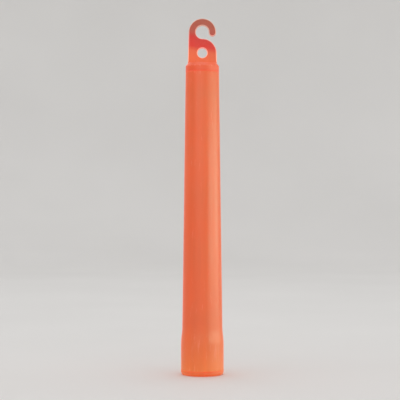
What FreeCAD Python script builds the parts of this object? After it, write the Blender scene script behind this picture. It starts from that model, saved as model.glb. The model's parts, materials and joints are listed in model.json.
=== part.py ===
"""A six-inch chemical light stick with a moulded hook, as separate pieces in millimetres.

The stick stands on its closing plug, with the hook at the top. Z runs up the tube's axis, X runs across the
flat of the hook tab and Y runs through its thickness. The origin is the middle of the foot ring.
"""

import FreeCAD, Part
import math
import os

# ---- overall sizes -------------------------------------------------------------------------------------
overall_length = 152.4      # foot ring to the top of the hook: six inches
end_diameter = 18.3         # the belled end, round the closing plug
tube_low_diameter = 17.2    # the tube just above the bell
tube_top_diameter = 14.3    # the tube under the hook cap
seam_break = 0.25           # chamfer on both sides of each weld seam

# ---- outer tube ----------------------------------------------------------------------------------------
tube_wall = 1.3             # wall of the tapered length
socket_wall = 1.2           # wall of the belled end
bell_cylinder_top = 12.5    # height where the bell starts to close in
bell_run = 8.0              # height that the bell takes to reach the tapered length

# ---- closing plug --------------------------------------------------------------------------------------
flange_thickness = 2.0      # flange under the tube's end, and the floor of the plug's cup
flange_round = 1.2          # rounding of the flange's lower edge
skirt_height = 13.9         # skirt above the flange, inside the bell
skirt_wall = 1.2
skirt_floor_round = 0.8     # rounding where the skirt meets the cup's floor
skirt_lead_in = 0.35        # chamfer that lets the skirt into the tube
dish_radius = 6.4           # shallow dish in the underside, inside the foot ring
dish_depth = 0.5
gate_radius = 0.9           # stub left where the plug was moulded
gate_height = 0.3
socket_end_gap = 0.2        # above the skirt, so that the flange seats first

# ---- hook cap ------------------------------------------------------------------------------------------
collar_height = 2.4         # round collar on the tube's top end
shoulder_height = 1.3       # cone from the collar in to the foot of the tab
tab_foot_width = 12.3       # tab at the shoulder, and the shoulder's upper face
tab_thickness = 2.8
tab_edge_round = 0.45       # on every edge of the tab's two faces
tab_root_round = 0.5        # where the tab's two faces meet the shoulder
cap_plug_depth = 5.5        # plug below the collar, inside the tube
cap_plug_wall = 1.45
cap_plug_roof = 1.6         # solid plastic over the plug's hollow, up to the collar's underside
cap_plug_lead_in = 0.4
hook_outer_radius = 5.8
hook_seat_radius = 2.85     # round seat inside the hook
hook_tip_angle = -3.0       # degrees above the horizontal, where the hook's band ends
hole_radius = 2.1           # cord hole under the hook
lobe_radius = 6.05          # round side of the tab, about the cord hole
hole_above_collar = 8.1     # cord hole's centre above the collar's underside

# ---- ampoule -------------------------------------------------------------------------------------------
ampoule_diameter = 9.4
glass_wall = 0.4
ampoule_travel = 5.0        # free play along the tube
seal_radius = 1.15          # melted stub at the ampoule's top
seal_height = 1.2           # stub above the dome
seal_fillet = 0.7
activator_headspace = 7.0   # bubble in the ampoule, below its inner dome's top

# ---- liquids and fits ----------------------------------------------------------------------------------
dye_headspace = 3.5         # air above the dye solution, below the cap's plug
plug_fit = 0.03             # radial gap round each plug, before it is welded
seat_gap = 0.02             # under the collar and over the flange, before they are welded
liquid_film = 0.03          # between a liquid and the wall that holds it
ampoule_gap = 0.1           # round the ampoule, where it moves
rest_gap = 0.05             # under the ampoule, where it rests

TINY = 1e-4                 # far below any size here, for picking edges out

# ---- heights and radii that follow ---------------------------------------------------------------------
end_radius = end_diameter / 2
tube_low_radius = tube_low_diameter / 2
tube_top_radius = tube_top_diameter / 2
ampoule_radius = ampoule_diameter / 2
tube_bottom = flange_thickness + seat_gap
bell_top = bell_cylinder_top + bell_run
socket_radius = end_radius - socket_wall
skirt_top = flange_thickness + skirt_height
socket_top = skirt_top + socket_end_gap
hook_pitch = hook_seat_radius + lobe_radius         # hook centre above the cord hole: the two arcs then meet
cap_height = hole_above_collar + hook_pitch + hook_outer_radius
collar_bottom = overall_length - cap_height
collar_top = collar_bottom + collar_height
shoulder_top = collar_top + shoulder_height
tube_top = collar_bottom - seat_gap
cap_plug_bottom = collar_bottom - cap_plug_depth
cap_hollow_top = collar_bottom - cap_plug_roof
hole_height = collar_bottom + hole_above_collar
hook_height = hole_height + hook_pitch


def tube_radius(height):
    """Outer radius of the tapered length, which narrows evenly from the bell to the top."""
    share = (height - bell_top) / (tube_top - bell_top)
    return tube_low_radius + share * (tube_top_radius - tube_low_radius)


def bore_radius(height):
    return tube_radius(height) - tube_wall


cap_hollow_radius = bore_radius(cap_plug_bottom) - plug_fit - cap_plug_wall
# The ampoule's dome stops on the rim of the cap's hollow, so the stop lies this far above the dome's centre.
dome_at_rim = math.sqrt(max(ampoule_radius ** 2 - cap_hollow_radius ** 2, 0.0))
ampoule_low_centre = flange_thickness + rest_gap + ampoule_radius
dome_stop = min(
    cap_plug_bottom - ampoule_gap - dome_at_rim,
    cap_hollow_top - ampoule_gap - ampoule_radius - seal_height,
)
ampoule_high_centre = dome_stop - ampoule_travel
dye_level = cap_plug_bottom - dye_headspace


# ---- helpers -------------------------------------------------------------------------------------------
def at(radius, height):
    """A point of a turned piece's outline, in the XZ plane."""
    return FreeCAD.Vector(radius, 0, height)


def line(start, end):
    return Part.LineSegment(start, end).toShape()


def arc(start, middle, end):
    return Part.Arc(start, middle, end).toShape()


def lines(*points):
    """Straight edges through the points, leaving out any of no length."""
    return [line(a, b) for a, b in zip(points, points[1:]) if (b - a).Length > TINY]


def arc_about(centre, radius, start_degrees, end_degrees):
    """An arc in the XZ plane from one angle to another, measured from +X towards +Z."""
    def point(degrees):
        turn = math.radians(degrees)
        return centre + FreeCAD.Vector(radius * math.cos(turn), 0, radius * math.sin(turn))

    return arc(point(start_degrees), point((start_degrees + end_degrees) / 2), point(end_degrees))


def turned(edges):
    """A solid turned about Z from a closed outline."""
    face = Part.Face(Part.Wire(edges))
    solid = face.revolve(FreeCAD.Vector(0, 0, 0), FreeCAD.Vector(0, 0, 1), 360)
    return solid if solid.ShapeType == "Solid" else Part.Solid(solid.Shells[0])


def tangent_angle(point, centre, radius, side):
    """Angle about centre, in degrees, where the line from point touches the circle. side is -1 or 1."""
    away = point - centre
    to_point = math.degrees(math.atan2(away.z, away.x))
    opening = math.degrees(math.acos(radius / away.Length))
    return to_point + side * opening


def on_circle(centre, radius, degrees):
    turn = math.radians(degrees)
    return centre + FreeCAD.Vector(radius * math.cos(turn), 0, radius * math.sin(turn))


# ---- outer tube ----------------------------------------------------------------------------------------
def outer_tube():
    """The drafted tube, belled at its lower end to take the plug's skirt."""
    bell = Part.BezierCurve()
    pull = bell_run / 2
    taper_pull = tube_radius(bell_top - pull) - tube_low_radius
    bell.setPoles([
        at(end_radius, bell_cylinder_top),
        at(end_radius, bell_cylinder_top + pull),
        at(tube_low_radius + taper_pull, bell_top - pull),
        at(tube_low_radius, bell_top),
    ])
    outside = lines(
        at(end_radius - seam_break, tube_bottom),
        at(end_radius, tube_bottom + seam_break),
        at(end_radius, bell_cylinder_top),
    )
    outside.append(bell.toShape())
    outside += lines(
        at(tube_low_radius, bell_top),
        at(tube_radius(tube_top - seam_break), tube_top - seam_break),
        at(tube_top_radius - seam_break, tube_top),
    )
    inside = lines(
        at(tube_top_radius - seam_break, tube_top),
        at(bore_radius(tube_top), tube_top),
        at(bore_radius(socket_top), socket_top),
        at(socket_radius, socket_top),
        at(socket_radius, tube_bottom),
        at(end_radius - seam_break, tube_bottom),
    )
    return turned(outside + inside)


# ---- closing plug --------------------------------------------------------------------------------------
skirt_radius = socket_radius - plug_fit
cup_radius = skirt_radius - skirt_wall


def end_plug():
    """The cup-shaped plug that closes the belled end, with a foot ring round a shallow dish."""
    corner = at(end_radius - flange_round, flange_round)
    floor_corner = at(cup_radius - skirt_floor_round, flange_thickness + skirt_floor_round)
    edges = lines(
        at(0, dish_depth - gate_height),
        at(gate_radius, dish_depth - gate_height),
        at(gate_radius, dish_depth),
        at(dish_radius - dish_depth, dish_depth),
        at(dish_radius, 0),
        at(end_radius - flange_round, 0),
    )
    edges.append(arc_about(corner, flange_round, -90, 0))
    edges += lines(
        at(end_radius, flange_round),
        at(end_radius, flange_thickness - seam_break),
        at(end_radius - seam_break, flange_thickness),
        at(skirt_radius, flange_thickness),
        at(skirt_radius, skirt_top - skirt_lead_in),
        at(skirt_radius - skirt_lead_in, skirt_top),
        at(cup_radius, skirt_top),
        at(cup_radius, flange_thickness + skirt_floor_round),
    )
    edges.append(arc_about(floor_corner, skirt_floor_round, 0, -90))
    edges += lines(
        at(cup_radius - skirt_floor_round, flange_thickness),
        at(0, flange_thickness),
        at(0, dish_depth - gate_height),
    )
    return turned(edges)


# ---- hook cap ------------------------------------------------------------------------------------------
def cap_body():
    """Collar, shoulder cone and the hollow plug below them."""
    plug_top_radius = bore_radius(collar_bottom) - plug_fit
    plug_low_radius = bore_radius(cap_plug_bottom) - plug_fit
    edges = lines(
        at(0, shoulder_top),
        at(tab_foot_width / 2, shoulder_top),
        at(tube_top_radius, collar_top),
        at(tube_top_radius, collar_bottom + seam_break),
        at(tube_top_radius - seam_break, collar_bottom),
        at(plug_top_radius, collar_bottom),
        at(plug_low_radius, cap_plug_bottom + cap_plug_lead_in),
        at(plug_low_radius - cap_plug_lead_in, cap_plug_bottom),
        at(cap_hollow_radius, cap_plug_bottom),
        at(cap_hollow_radius, cap_hollow_top),
        at(0, cap_hollow_top),
        at(0, shoulder_top),
    )
    return turned(edges)


def tab_outline():
    """Outline of the flat tab: the straight back, the hook's band, its seat, the round lobe and the front."""
    hook = at(0, hook_height)
    hole = at(0, hole_height)
    half_foot = tab_foot_width / 2
    buried = shoulder_top - shoulder_height / 2     # inside the shoulder, so that the two join
    back = tangent_angle(at(-half_foot, shoulder_top), hook, hook_outer_radius, -1) % 360
    front = tangent_angle(at(half_foot, shoulder_top), hole, lobe_radius, 1)
    tip_radius = (hook_outer_radius - hook_seat_radius) / 2
    tip = on_circle(hook, hook_seat_radius + tip_radius, hook_tip_angle)
    return [
        *lines(
            at(half_foot, buried),
            at(-half_foot, buried),
            at(-half_foot, shoulder_top),
            on_circle(hook, hook_outer_radius, back),
        ),
        arc_about(hook, hook_outer_radius, back, hook_tip_angle),
        arc_about(tip, tip_radius, hook_tip_angle, hook_tip_angle - 180),
        arc_about(hook, hook_seat_radius, hook_tip_angle, 270),
        arc_about(hole, lobe_radius, 90, front),
        *lines(
            on_circle(hole, lobe_radius, front),
            at(half_foot, shoulder_top),
            at(half_foot, buried),
        ),
    ]


def hook_tab():
    """The flat tab with its cord hole, rounded along every edge of its two faces."""
    face = Part.Face(Part.Wire(tab_outline()))
    blank = face.extrude(FreeCAD.Vector(0, tab_thickness, 0))
    blank.translate(FreeCAD.Vector(0, -tab_thickness / 2, 0))
    drill = Part.makeCylinder(
        hole_radius, 2 * tab_thickness,
        FreeCAD.Vector(0, -tab_thickness, hole_height), FreeCAD.Vector(0, 1, 0),
    )
    blank = blank.cut(drill)
    rims = [
        edge for edge in blank.Edges
        if abs(abs(edge.CenterOfMass.y) - tab_thickness / 2) < TINY
        and edge.CenterOfMass.z > shoulder_top - shoulder_height / 2 + TINY
    ]
    return blank.makeFillet(tab_edge_round, rims)


def tab_root():
    """The concave fillets along the foot of the tab's two faces, as one bar through the tab."""
    half = tab_thickness / 2
    reach = tab_foot_width / 2 - tab_edge_round
    sag = tab_root_round * (1 - math.sqrt(0.5))

    def across(y, z):
        return FreeCAD.Vector(-reach, y, z)

    top = shoulder_top + tab_root_round
    outer = half + tab_root_round
    buried = shoulder_top - shoulder_height / 2
    face = Part.Face(Part.Wire([
        line(across(-outer, buried), across(-outer, shoulder_top)),
        arc(across(-outer, shoulder_top), across(-half - sag, shoulder_top + sag), across(-half, top)),
        line(across(-half, top), across(half, top)),
        arc(across(half, top), across(half + sag, shoulder_top + sag), across(outer, shoulder_top)),
        line(across(outer, shoulder_top), across(outer, buried)),
        line(across(outer, buried), across(-outer, buried)),
    ]))
    bar = face.extrude(FreeCAD.Vector(2 * reach, 0, 0))
    rim = Part.makeCylinder(tab_foot_width / 2, overall_length)
    return bar.common(rim)


def hook_cap():
    """Collar, plug and hook tab, moulded as one."""
    return cap_body().fuse([hook_tab(), tab_root()]).removeSplitter().Solids[0]


# ---- ampoule -------------------------------------------------------------------------------------------
def capsule(radius, low_centre, high_centre):
    """A round-ended cylinder on the Z axis."""
    edges = [
        line(at(0, low_centre - radius), at(0, high_centre + radius)),
        arc_about(at(0, high_centre), radius, 90, 0),
        line(at(radius, high_centre), at(radius, low_centre)),
        arc_about(at(0, low_centre), radius, 0, -90),
    ]
    return turned(edges)


def glass_ampoule():
    """The thin glass vial, round at both ends, with the stub where it was melted shut at the top."""
    outside = capsule(ampoule_radius, ampoule_low_centre, ampoule_high_centre)
    stub_foot = ampoule_high_centre + ampoule_radius / 2
    stub_top = ampoule_high_centre + ampoule_radius + seal_height
    stub = Part.makeCylinder(seal_radius, stub_top - stub_foot, at(0, stub_foot))
    body = outside.fuse(stub)
    top_rim = [e for e in body.Edges if abs(e.BoundBox.ZMin - stub_top) < 1e-6 and e.Length > seal_radius]
    body = body.makeFillet(seal_radius * 0.6, top_rim)
    foot_rim = [
        e for e in body.Edges
        if abs(e.BoundBox.ZMax - e.BoundBox.ZMin) < 1e-6
        and abs(e.Length - 2 * math.pi * seal_radius) < 1e-3
        and e.BoundBox.ZMax < ampoule_high_centre + ampoule_radius
    ]
    body = body.makeFillet(seal_fillet, foot_rim)
    inside = capsule(ampoule_radius - glass_wall, ampoule_low_centre, ampoule_high_centre)
    return body.cut(inside).Solids[0]


def activator_liquid():
    """The activator in the ampoule, with a bubble over it."""
    radius = ampoule_radius - glass_wall - liquid_film
    full = capsule(radius, ampoule_low_centre, ampoule_high_centre)
    level = ampoule_high_centre + radius - activator_headspace
    bubble = Part.makeCylinder(2 * radius, overall_length, at(0, level))
    return full.cut(bubble).Solids[0]


# ---- dye solution --------------------------------------------------------------------------------------
def dye_solution():
    """The dye solution round the ampoule. Its bore leaves the ampoule's whole travel clear."""
    cup = cup_radius - liquid_film
    neck = min(cup, bore_radius(socket_top) - liquid_film)
    floor = flange_thickness + liquid_film
    floor_corner = at(cup - skirt_floor_round, floor + skirt_floor_round)
    edges = lines(
        at(0, floor),
        at(cup - skirt_floor_round, floor),
    )
    edges.append(arc_about(floor_corner, skirt_floor_round, -90, 0))
    edges += lines(
        at(cup, floor + skirt_floor_round),
        at(cup, socket_top - liquid_film),
        at(neck, socket_top - liquid_film),
        at(neck, socket_top + liquid_film),
        at(bore_radius(socket_top) - liquid_film, socket_top + liquid_film),
        at(bore_radius(dye_level) - liquid_film, dye_level),
        at(0, dye_level),
        at(0, floor),
    )
    full = turned(edges)
    ampoule_path = capsule(
        ampoule_radius + ampoule_gap, ampoule_low_centre, ampoule_high_centre + ampoule_travel,
    )
    return full.cut(ampoule_path).removeSplitter().Solids[0]


def check(name, solid):
    """Stops the build where a piece isn't one closed, valid solid."""
    if solid.ShapeType != "Solid" or not solid.isValid() or solid.Volume <= 0:
        raise RuntimeError(f"{name} is not one valid solid")


pieces = {
    "outer_tube": outer_tube(),
    "end_plug": end_plug(),
    "hook_cap": hook_cap(),
    "glass_ampoule": glass_ampoule(),
    "activator_liquid": activator_liquid(),
    "dye_solution": dye_solution(),
}

os.makedirs("parts", exist_ok=True)
for name, solid in pieces.items():
    check(name, solid)
    solid.exportStep(f"parts/{name}.step")
    box = solid.BoundBox
    print(f"{name}: {solid.Volume:.1f} mm3, z {box.ZMin:.2f} to {box.ZMax:.2f}, {len(solid.Faces)} faces")
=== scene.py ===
"""Looks of a glowing orange chemical light stick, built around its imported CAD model.

The CAD pieces keep their shapes and take procedural materials. Mesh code adds the beads of flash at the two welds and
the moulding line round the cap's tab. A pale studio bowl, soft lights and a level camera complete the scene.
Lengths are in metres, angles in radians and colours in linear light.
"""

import json
import math

import bmesh
import bpy
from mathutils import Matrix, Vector, noise


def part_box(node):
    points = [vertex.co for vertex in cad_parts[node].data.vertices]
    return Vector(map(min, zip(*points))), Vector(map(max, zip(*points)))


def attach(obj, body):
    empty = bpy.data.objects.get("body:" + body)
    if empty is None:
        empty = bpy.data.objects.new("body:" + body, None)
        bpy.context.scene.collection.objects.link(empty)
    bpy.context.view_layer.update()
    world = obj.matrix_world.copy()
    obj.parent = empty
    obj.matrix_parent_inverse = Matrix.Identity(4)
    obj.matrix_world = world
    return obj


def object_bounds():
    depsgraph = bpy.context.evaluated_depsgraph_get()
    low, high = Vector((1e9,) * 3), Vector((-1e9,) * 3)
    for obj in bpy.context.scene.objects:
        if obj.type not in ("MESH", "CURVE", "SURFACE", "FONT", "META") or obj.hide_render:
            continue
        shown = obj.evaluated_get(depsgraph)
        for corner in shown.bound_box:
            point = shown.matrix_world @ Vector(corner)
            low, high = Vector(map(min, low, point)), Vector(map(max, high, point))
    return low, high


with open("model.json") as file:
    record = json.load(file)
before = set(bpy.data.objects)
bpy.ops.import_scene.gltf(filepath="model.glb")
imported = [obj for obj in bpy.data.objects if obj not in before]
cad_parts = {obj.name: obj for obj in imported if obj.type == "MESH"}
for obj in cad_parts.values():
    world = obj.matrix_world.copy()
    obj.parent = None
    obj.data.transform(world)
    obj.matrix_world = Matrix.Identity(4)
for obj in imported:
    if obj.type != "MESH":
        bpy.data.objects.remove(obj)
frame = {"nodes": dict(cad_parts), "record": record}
cad_low, cad_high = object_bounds()
nodes = frame["nodes"]
MM = 0.001

# ---- places read from the frame ------------------------------------------------------------------------
tube_low, tube_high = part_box("outer_tube")
cap_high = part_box("hook_cap")[1]
cord_hole = next(m for m in frame["record"]["mounts"] if m["name"] == "cord_hole")
HOLE_ABOVE_SHOULDER = 2.1  # in radii of the hole
shoulder_top = cord_hole["pos_m"][2] - HOLE_ABOVE_SHOULDER * cord_hole["dims"]["r_mm"] * MM

# ---- colours of the plastic and of the light it gives off ----------------------------------------------
TUBE_BASE = (0.15, 0.078, 0.032)
CAP_BASE = (0.16, 0.032, 0.022)
PLUG_BASE = (0.16, 0.080, 0.030)
GLOW_LOW = (0.65, 0.112, 0.018)
GLOW_TUBE = (0.62, 0.058, 0.012)
GLOW_HIGH = (0.63, 0.066, 0.016)
TUBE_GLOW = [  # from the tube's foot, 0, to its top, 1
    (0.0, GLOW_LOW),
    (0.06, (0.64, 0.085, 0.014)),
    (0.16, GLOW_TUBE),
    (0.55, GLOW_TUBE),
    (0.72, GLOW_HIGH),
    (0.92, GLOW_HIGH),
    (1.0, (0.66, 0.062, 0.015)),
]
# The dim tan at the hook's top is painted light, standing in for ambient light falling on it, not glow from the tube.
CAP_GLOW = [  # from the tube's top, 0, to the hook's, 1: amber at the tab's foot, then red, then a dim tan
    (0.0, (0.65, 0.070, 0.018)),
    (0.22, (0.70, 0.104, 0.025)),
    (0.37, (0.64, 0.094, 0.024)),
    (0.46, (0.55, 0.008, 0.004)),
    (0.64, (0.45, 0.004, 0.005)),
    (0.74, (0.31, 0.046, 0.028)),
    (0.90, (0.27, 0.058, 0.032)),
]
# A painted highlight: pale light added along the cap's rounded edges, on top of its glow.
PAINTED_RIM_HIGHLIGHT = (0.28, 0.32, 0.27)
DYE_GLOW, DYE_GLOW_PALE = (1.0, 0.125, 0.048), (1.0, 0.150, 0.078)

# ---- surface of the frosted plastic --------------------------------------------------------------------
# A noise has so many features to the metre, and a squeeze along Z that draws them out upwards where it is under 1.
CLOUDS_PER_M = 55
STREAKS_PER_M, STREAK_SQUEEZE = 420, 0.04
RIPPLES_PER_M, RIPPLE_SQUEEZE = 190, 0.45
PEEL_PER_M = 700
GRAINS_PER_M = 5200
SCUFFS_PER_M, SCUFF_SQUEEZE = 900, 0.12
RIPPLE_DEPTH = 0.05 * MM
PEEL_DEPTH = 0.02 * MM
STREAK_DEPTH = 0.012 * MM
GRAIN_DEPTH = 0.004 * MM
SCUFF_DEPTH = 0.005 * MM
NARROW, WIDE = (0.35, 0.65), (0.3, 0.7)  # the bands of a noise's values that are spread over a range
STAIN = 0.84  # how dark the clouds make the plastic
CLOUD_DIMMING, STREAK_DIMMING = (0.92, 1.06), (0.96, 1.03)  # how much light comes through
SMOOTHER, ROUGHER = 0.04, 0.05  # what a streak takes from the roughness or adds to it
SCUFF_BAND = (0.62, 0.72)  # the noise value at which a scuff begins, and at which it is full
RUB_REACH = 0.13  # what rubbing adds to that value
SCUFF_STRENGTH, SCUFF_OF_BASE, SCUFF_OF_WHITE = 0.28, 0.5, 0.2  # a scuff pales the base's colour
SCUFF_ROUGHNESS = 0.14  # what it adds to the roughness


# ---- node helpers --------------------------------------------------------------------------------------
class Shader:
    """A material under construction: its tree, its Principled shader and short ways to add nodes."""

    def __init__(self, name):
        self.material = bpy.data.materials.new(name)
        self.material.use_nodes = True
        self.tree = self.material.node_tree
        self.surface = next(n for n in self.tree.nodes if n.type == "BSDF_PRINCIPLED")
        self.coordinates = self.add("ShaderNodeTexCoord")
        self.place = self.coordinates.outputs["Object"]

    def add(self, kind, **settings):
        """A new node of a kind, with its settings."""
        node = self.tree.nodes.new(kind)
        for key, value in settings.items():
            setattr(node, key, value)
        return node

    def join(self, output, socket):
        """Links an output to a socket, or sets the socket where it's given a plain value."""
        if isinstance(output, bpy.types.NodeSocket):
            self.tree.links.new(output, socket)
        else:
            socket.default_value = output

    def set(self, **values):
        """Sets the Principled shader's sockets by name, with _ for a space."""
        for key, value in values.items():
            self.join(value, self.surface.inputs[key.replace("_", " ")])

    def noise(self, per_metre, squeeze=1.0, detail=2.0, roughness=0.5):
        """Noise with per_metre features to the metre, drawn out upwards where squeeze is under 1."""
        mapping = self.add("ShaderNodeMapping")
        mapping.inputs["Scale"].default_value = (1, 1, squeeze)
        self.join(self.place, mapping.inputs["Vector"])
        texture = self.add("ShaderNodeTexNoise")
        self.join(mapping.outputs["Vector"], texture.inputs["Vector"])
        texture.inputs["Scale"].default_value = per_metre
        texture.inputs["Detail"].default_value = detail
        texture.inputs["Roughness"].default_value = roughness
        return texture.outputs["Fac"]

    def span(self, value, low, high, to_low=0.0, to_high=1.0):
        """Maps a value from low..high to to_low..to_high, clamped."""
        node = self.add("ShaderNodeMapRange")
        node.inputs["From Min"].default_value = low
        node.inputs["From Max"].default_value = high
        node.inputs["To Min"].default_value = to_low
        node.inputs["To Max"].default_value = to_high
        self.join(value, node.inputs["Value"])
        return node.outputs["Result"]

    def math(self, operation, a, b=0.0):
        """One arithmetic step on two values, or on one where the operation takes one."""
        node = self.add("ShaderNodeMath", operation=operation)
        self.join(a, node.inputs[0])
        self.join(b, node.inputs[1])
        return node.outputs["Value"]

    def mix(self, factor, a, b, blend="MIX"):
        """Mixes two colours, each an output or a plain (red, green, blue)."""
        node = self.add("ShaderNodeMix", data_type="RGBA", blend_type=blend)
        self.join(factor, node.inputs["Factor"])
        sockets = [s for s in node.inputs if s.type == "RGBA"]
        for socket, colour in zip(sockets, (a, b)):
            if isinstance(colour, bpy.types.NodeSocket):
                self.join(colour, socket)
            else:
                socket.default_value = (*colour, 1.0)
        return next(s for s in node.outputs if s.type == "RGBA")

    def ramp(self, value, stops):
        """A colour ramp through (position, colour) stops."""
        node = self.add("ShaderNodeValToRGB")
        elements = node.color_ramp.elements
        while len(elements) < len(stops):
            elements.new(0.5)
        for element, (position, colour) in zip(elements, stops):
            element.position = position
            element.color = (*colour, 1.0)
        self.join(value, node.inputs["Fac"])
        return node.outputs["Color"]

    def axis(self, letter):
        """One coordinate of the shaded point in metres."""
        node = self.add("ShaderNodeSeparateXYZ")
        self.join(self.place, node.inputs["Vector"])
        return node.outputs[letter]

    def bump(self, layers):
        """Bump from (height output, depth in metres) layers, laid over each other."""
        normal = None
        for layer, depth in layers:
            node = self.add("ShaderNodeBump")
            node.inputs["Strength"].default_value = 1.0
            node.inputs["Distance"].default_value = depth
            self.join(layer, node.inputs["Height"])
            if normal is not None:
                self.join(normal, node.inputs["Normal"])
            normal = node.outputs["Normal"]
        self.join(normal, self.surface.inputs["Normal"])


def wear(node, material):
    """Gives a CAD node its material."""
    piece = nodes[node]
    piece.data.materials.clear()
    piece.data.materials.append(material)


# ---- materials -----------------------------------------------------------------------------------------
def frosted(shader, base, roughness, rubbed):
    """What all the polyethylene shares: a waxy surface that scatters light inside, scuffed most where rubbed is 1.

    Returns its clouds and streaks, for dimmed().
    """
    cloud = shader.noise(CLOUDS_PER_M, detail=3)
    streaks = shader.noise(STREAKS_PER_M, STREAK_SQUEEZE)
    ripple = shader.noise(RIPPLES_PER_M, RIPPLE_SQUEEZE)
    peel = shader.noise(PEEL_PER_M)
    grain = shader.noise(GRAINS_PER_M)
    scuffs = shader.noise(SCUFFS_PER_M, SCUFF_SQUEEZE, detail=4, roughness=0.7)
    reach = shader.math("ADD", scuffs, shader.math("MULTIPLY", rubbed, RUB_REACH))
    scuffed = shader.span(reach, *SCUFF_BAND)
    drawn = shader.span(streaks, *WIDE, roughness - SMOOTHER, roughness + ROUGHER)
    stained = shader.mix(shader.span(cloud, *NARROW), base, [c * STAIN for c in base])
    scuff_colour = [SCUFF_OF_BASE * c + SCUFF_OF_WHITE for c in base]
    shader.set(
        Base_Color=shader.mix(shader.math("MULTIPLY", scuffed, SCUFF_STRENGTH), stained, scuff_colour),
        Roughness=shader.math("ADD", drawn, shader.math("MULTIPLY", scuffed, SCUFF_ROUGHNESS)),
        IOR=1.51,
        Specular_IOR_Level=0.42,
        Subsurface_Weight=0.6,
        Subsurface_Radius=(1.0, 0.35, 0.18),
        Subsurface_Scale=2.2 * MM,
    )
    shader.bump([
        (ripple, RIPPLE_DEPTH),
        (peel, PEEL_DEPTH),
        (streaks, STREAK_DEPTH),
        (grain, GRAIN_DEPTH),
        (scuffed, SCUFF_DEPTH),
    ])
    return cloud, streaks


def dimmed(shader, colour, cloud, streaks):
    """A colour of light, made uneven by the clouds and streaks in the plastic that it comes through."""
    through = shader.math("MULTIPLY", shader.span(cloud, *WIDE, *CLOUD_DIMMING),
                          shader.span(streaks, *WIDE, *STREAK_DIMMING))
    grey = shader.add("ShaderNodeCombineXYZ")
    for socket in grey.inputs:
        shader.join(through, socket)
    return shader.mix(1.0, colour, grey.outputs["Vector"], "MULTIPLY")


def tube_material():
    """The tube's wall, lit from inside by the liquid, and most strongly round the plug."""
    shader = Shader("frosted_tube")
    foot_worn = 3 * MM
    bell_worn_from, bell_worn_fully, bell_rub = 22 * MM, 10 * MM, 0.45
    top_worn, top_rub = 2 * MM, 0.8
    height = shader.axis("Z")
    foot_wear = shader.span(height, tube_low.z + foot_worn, tube_low.z)
    bell_wear = shader.span(height, tube_low.z + bell_worn_from, tube_low.z + bell_worn_fully, 0.0, bell_rub)
    top_wear = shader.span(height, tube_high.z - top_worn, tube_high.z, 0.0, top_rub)
    rubbed = shader.math("MAXIMUM", shader.math("MAXIMUM", foot_wear, bell_wear), top_wear)
    cloud, streaks = frosted(shader, TUBE_BASE, roughness=0.34, rubbed=rubbed)
    level = shader.span(height, tube_low.z, tube_high.z)
    glow = shader.ramp(level, TUBE_GLOW)
    shader.set(Emission_Color=dimmed(shader, glow, cloud, streaks), Emission_Strength=1.0)
    return shader.material


def cap_material():
    """The hook cap: light creeps up it from the tube and reddens on the way, the dim tan at its top is painted light
    standing in for ambient light on it, and a painted highlight runs along its rounded edges.
    """
    shader = Shader("frosted_cap")
    # How flat the tab is tells where its rim gets the painted highlight and the rubbing: fully below face_ends, and
    # by wall_share on the walls.
    face_starts, face_ends, wall_ends, wall_share = 0.985, 0.80, 0.3, 0.35
    # The collar's top corner is this far under the top of the shoulder, and is rubbed.
    corner_drop, corner_reach, corner_core = 1.3 * MM, 0.6 * MM, 0.1 * MM
    lean = 0.15  # how steeply the bands of colour fall towards +X
    facing = shader.add("ShaderNodeSeparateXYZ")
    shader.join(shader.coordinates.outputs["Normal"], facing.inputs["Vector"])
    # flat is 1 on the tab's two faces, 0 on the walls round its edge, and in between on the rounding that joins them.
    flat = shader.math("ABSOLUTE", facing.outputs["Y"])
    rounded = shader.math("MULTIPLY", shader.span(flat, face_starts, face_ends),
                          shader.span(flat, 0.0, wall_ends, wall_share, 1.0))
    # The tab's rounded edges above the shoulder: they get the painted highlight and also the rubbing.
    rim_highlight_and_wear = shader.math("MULTIPLY", rounded, shader.span(shader.axis("Z"), shoulder_top, shoulder_top + MM))
    corner = shader.math("ABSOLUTE", shader.math("SUBTRACT", shader.axis("Z"), shoulder_top - corner_drop))
    rubbed = shader.math("MAXIMUM", rim_highlight_and_wear, shader.span(corner, corner_reach, corner_core))
    cloud, streaks = frosted(shader, CAP_BASE, roughness=0.4, rubbed=rubbed)
    slant = shader.math("ADD", shader.axis("Z"), shader.math("MULTIPLY", shader.axis("X"), lean))
    level = shader.span(slant, tube_high.z, cap_high.z)
    glow = shader.ramp(level, CAP_GLOW)
    # Painted highlight: pale light is added along the rounded edges, over the dimmed glow.
    glow_and_rim_highlight = shader.mix(rim_highlight_and_wear, dimmed(shader, glow, cloud, streaks), PAINTED_RIM_HIGHLIGHT, "ADD")
    shader.set(Emission_Color=glow_and_rim_highlight, Emission_Strength=1.0)
    return shader.material


def plug_material():
    """The closing plug, thick and close to the liquid."""
    shader = Shader("frosted_plug")
    rubbed_below = 1.4 * MM
    rubbed = shader.span(shader.axis("Z"), rubbed_below, 0.0)
    cloud, streaks = frosted(shader, PLUG_BASE, roughness=0.38, rubbed=rubbed)
    glow = shader.mix(shader.span(cloud, *NARROW), GLOW_LOW, GLOW_TUBE)
    shader.set(Emission_Color=dimmed(shader, glow, cloud, streaks), Emission_Strength=1.0)
    return shader.material


def dye_material():
    """The glowing dye solution."""
    shader = Shader("glowing_dye")
    cloud = shader.noise(per_metre=80, detail=3)
    shader.set(
        Base_Color=(0.75, 0.12, 0.03, 1.0),
        Roughness=0.1,
        IOR=1.5,
        Transmission_Weight=0.5,
        Emission_Color=shader.mix(shader.span(cloud, *WIDE), DYE_GLOW, DYE_GLOW_PALE),
        Emission_Strength=1.1,
    )
    return shader.material


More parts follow.
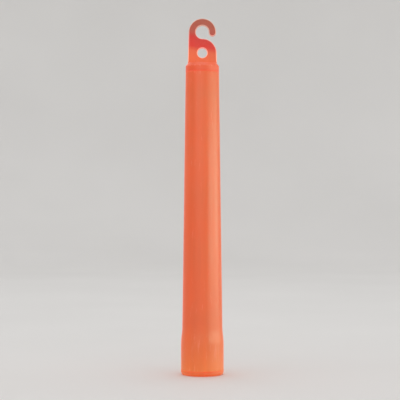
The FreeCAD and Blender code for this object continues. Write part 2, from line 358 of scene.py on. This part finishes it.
def glass_material():
    """The ampoule's thin glass, with the faint waves of drawn tube."""
    shader = Shader("ampoule_glass")
    wave_depth = 0.01 * MM
    waves = shader.noise(per_metre=160, squeeze=0.15)
    shader.set(
        Base_Color=(0.96, 0.95, 0.93, 1.0),
        Roughness=shader.span(waves, *WIDE, to_low=0.02, to_high=0.05),
        IOR=1.5,
        Transmission_Weight=1.0,
    )
    shader.bump([(waves, wave_depth)])
    return shader.material


def activator_material():
    """The activator, a thin straw-coloured liquid."""
    shader = Shader("activator")
    cloud = shader.noise(per_metre=90)
    shader.set(
        Base_Color=shader.mix(shader.span(cloud, *WIDE), (0.95, 0.80, 0.62), (0.98, 0.86, 0.70)),
        Roughness=0.02,
        IOR=1.43,
        Transmission_Weight=1.0,
    )
    return shader.material


# ---- pieces built here ---------------------------------------------------------------------------------
def make(name, form, material):
    """Turns a bmesh into a smooth piece that rides on the stick."""
    bmesh.ops.recalc_face_normals(form, faces=form.faces)
    mesh = bpy.data.meshes.new(name)
    form.to_mesh(mesh)
    form.free()
    mesh.shade_smooth()
    mesh.materials.append(material)
    piece = bpy.data.objects.new(name, mesh)
    bpy.context.scene.collection.objects.link(piece)
    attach(piece, "stick")
    return piece


def bridge(form, rings, closed):
    """Faces between rings of vertices. An open run of rings gets flat ends."""
    pairs = list(zip(rings, rings[1:])) + ([(rings[-1], rings[0])] if closed else [])
    for near, far in pairs:
        for k in range(len(near)):
            form.faces.new((near[k - 1], near[k], far[k], far[k - 1]))
    if not closed:
        form.faces.new(rings[0])
        form.faces.new(reversed(rings[-1]))


def weld_bead(name, wall_radius, z, material, seed):
    """The uneven bead of flash that spin welding squeezes into the groove between two mouldings."""
    around, section = 240, 10
    inset, half_width, half_height = 0.10 * MM, 0.14 * MM, 0.19 * MM
    swell_lumps, ripple_lumps, ripple_seed = 3.5, 16.0, seed + 5
    swell_girth, ripple_girth = 0.22, 0.12
    swell_out, ripple_up = 0.04 * MM, 0.03 * MM
    form = bmesh.new()
    rings = []
    for k in range(around):
        angle = 2 * math.pi * k / around
        out = Vector((math.cos(angle), math.sin(angle), 0))
        swell = noise.noise(out * swell_lumps + Vector((0, 0, seed)))
        ripple = noise.noise(out * ripple_lumps + Vector((0, 0, ripple_seed)))
        girth = 1.0 + swell_girth * swell + ripple_girth * ripple
        middle = out * (wall_radius - inset + swell_out * swell) + Vector((0, 0, z + ripple_up * ripple))
        rings.append([
            form.verts.new(middle + out * (half_width * girth * math.cos(turn))
                           + Vector((0, 0, half_height * girth * math.sin(turn))))
            for turn in (2 * math.pi * i / section for i in range(section))
        ])
    bridge(form, rings, closed=True)
    return make(name, form, material)


def tab_outlines():
    """The tab's edges at mid-thickness, cut from the cap's mesh: (points, closed) for each."""
    clear_of_shoulder = 0.2 * MM
    decimals = 7  # points that agree to a ten-thousandth of a millimetre are one point
    foot = shoulder_top + clear_of_shoulder
    form = bmesh.new()
    form.from_mesh(nodes["hook_cap"].data)
    everything = form.verts[:] + form.edges[:] + form.faces[:]
    cut = bmesh.ops.bisect_plane(form, geom=everything, plane_co=(0, 0, 0), plane_no=(0, 1, 0))["geom_cut"]
    links = {}
    for edge in cut:
        if not isinstance(edge, bmesh.types.BMEdge):
            continue
        low, high = sorted((v.co.copy() for v in edge.verts), key=lambda point: point.z)
        if high.z <= foot:
            continue
        if low.z < foot:
            low = low.lerp(high, (foot - low.z) / (high.z - low.z))
        ends = [tuple(round(c, decimals) for c in point) for point in (low, high)]
        if ends[0] != ends[1]:
            links.setdefault(ends[0], set()).add(ends[1])
            links.setdefault(ends[1], set()).add(ends[0])
    form.free()
    # Each run starts at a loose end where there is one, and follows the links until they run out.
    runs = []
    while links:
        ends = sorted(p for p in links if len(links[p]) == 1)
        point = ends[0] if ends else min(links)
        first, run = point, [Vector(point)]
        while links.get(point):
            onward = min(links[point])
            links[point].discard(onward)
            links[onward].discard(point)
            if onward != first:
                run.append(Vector(onward))
            if not links[point]:
                del links[point]
            point = onward
        links = {p: others for p, others in links.items() if others}
        runs.append((run, point == first))
    return runs


def parting_line(material):
    """The thin line that the mould's two halves leave round the tab's edge."""
    half_width, section = 0.07 * MM, 6
    across = Vector((0, 1, 0))
    form = bmesh.new()
    for run, closed in tab_outlines():
        rings = []
        for k, point in enumerate(run):
            before = run[k - 1] if k or closed else point
            after = run[(k + 1) % len(run)] if k + 1 < len(run) or closed else point
            side = (after - before).normalized().cross(across)
            rings.append([
                form.verts.new(point + side * (half_width * math.cos(turn)) + across * (half_width * math.sin(turn)))
                for turn in (2 * math.pi * i / section for i in range(section))
            ])
        bridge(form, rings, closed)
    return make("tab_parting_line", form, material)


# ---- studio --------------------------------------------------------------------------------------------
def bowl():
    """A pale floor that curves up all round into a wall, so that no horizon shows from any side."""
    floor_radius, curve, wall_top = 0.85, 0.5, 1.3
    around, floor_rings, curve_rings = 96, 6, 12
    profile = [(floor_radius * i / floor_rings, 0.0) for i in range(1, floor_rings + 1)]
    for i in range(1, curve_rings + 1):
        turn = math.pi / 2 * i / curve_rings
        profile.append((floor_radius + curve * math.sin(turn), curve * (1 - math.cos(turn))))
    profile.append((floor_radius + curve, wall_top))
    mesh = bpy.data.meshes.new("studio_bowl")
    form = bmesh.new()
    angles = [2 * math.pi * k / around for k in range(around)]
    rings = [
        [form.verts.new((radius * math.cos(angle), radius * math.sin(angle), z)) for angle in angles]
        for radius, z in profile
    ]
    form.faces.new(rings[0])
    for lower, upper in zip(rings, rings[1:]):
        for k in range(around):
            form.faces.new((lower[k - 1], lower[k], upper[k], upper[k - 1]))
    bmesh.ops.recalc_face_normals(form, faces=form.faces)
    form.to_mesh(mesh)
    form.free()
    mesh.shade_smooth()
    bowl_object = bpy.data.objects.new("studio_bowl", mesh)
    bpy.context.scene.collection.objects.link(bowl_object)
    shader = Shader("studio_paper")
    fibre_depth = 0.02 * MM
    fibres = shader.noise(per_metre=1500, detail=3)
    tone = shader.noise(per_metre=6)
    shader.set(
        Base_Color=shader.mix(shader.span(tone, *WIDE), (0.78, 0.77, 0.75), (0.81, 0.80, 0.78)),
        Roughness=0.75,
    )
    shader.bump([(fibres, fibre_depth)])
    mesh.materials.append(shader.material)


def lamp(name, place, size, power, colour=(1, 1, 1), only=None):
    """A soft rectangular light that faces the stick's middle, unseen itself. It may light only some pieces."""
    light = bpy.data.lights.new(name, "AREA")
    light.shape = "RECTANGLE"
    light.size, light.size_y = size
    light.energy = power
    light.color = colour
    holder = bpy.data.objects.new(name, light)
    holder.location = place
    aim = Vector((0, 0, cad_high.z * 0.5))
    holder.rotation_euler = (aim - Vector(place)).to_track_quat("-Z", "Y").to_euler()
    holder.visible_camera = False
    if only is not None:
        holder.light_linking.receiver_collection = only
        holder.light_linking.blocker_collection = only
    bpy.context.scene.collection.objects.link(holder)


def lights():
    """A soft box at the right for the long highlight, weak fills, a broad top light and even air.

    The soft box and the fills light only the stick, so that they leave no patch on the floor.
    """
    stick = bpy.data.collections.new("stick_pieces")
    for piece in pieces:
        stick.objects.link(piece)
    lamp("right_strip", (0.58, -0.16, 0.05), size=(0.95, 0.24), power=3.7, colour=(0.88, 0.95, 0.70), only=stick)
    lamp("front_fill", (-0.30, -0.95, 0.32), size=(1.1, 0.5), power=2.5, colour=(1.0, 0.93, 0.84), only=stick)
    lamp("top_soft", (0.0, 0.1, 1.4), size=(1.2, 1.2), power=7.6)
    lamp("back_soft", (-0.3, 0.8, 0.6), size=(0.8, 0.5), power=0.8, only=stick)
    world = bpy.data.worlds.new("studio_air")
    world.use_nodes = True
    background = next(n for n in world.node_tree.nodes if n.type == "BACKGROUND")
    background.inputs["Color"].default_value = (0.97, 0.97, 1.0, 1.0)
    background.inputs["Strength"].default_value = 0.58
    bpy.context.scene.world = world
    bpy.context.scene.view_settings.view_transform = "Standard"


def camera():
    """A level camera half a metre off, at half the stick's height."""
    distance, eye, aside, lens = 0.56, 0.0747, -0.001, 117.5
    data = bpy.data.cameras.new("camera")
    data.lens = lens
    data.clip_start = 0.01
    holder = bpy.data.objects.new("camera", data)
    holder.location = (aside, -distance, eye)
    holder.rotation_euler = (math.radians(90), 0, 0)
    bpy.context.scene.collection.objects.link(holder)
    bpy.context.scene.camera = holder


# ---- the scene -----------------------------------------------------------------------------------------
tube_plastic, cap_plastic, plug_plastic = tube_material(), cap_material(), plug_material()
wear("outer_tube", tube_plastic)
wear("hook_cap", cap_plastic)
wear("end_plug", plug_plastic)
wear("dye_solution", dye_material())
wear("glass_ampoule", glass_material())
wear("activator_liquid", activator_material())
pieces = list(nodes.values())
pieces.append(weld_bead("plug_weld_bead", tube_high.x, tube_low.z, plug_plastic, seed=3))
pieces.append(weld_bead("cap_weld_bead", cap_high.x, tube_high.z, cap_plastic, seed=8))
pieces.append(parting_line(cap_plastic))
bowl()
lights()
camera()
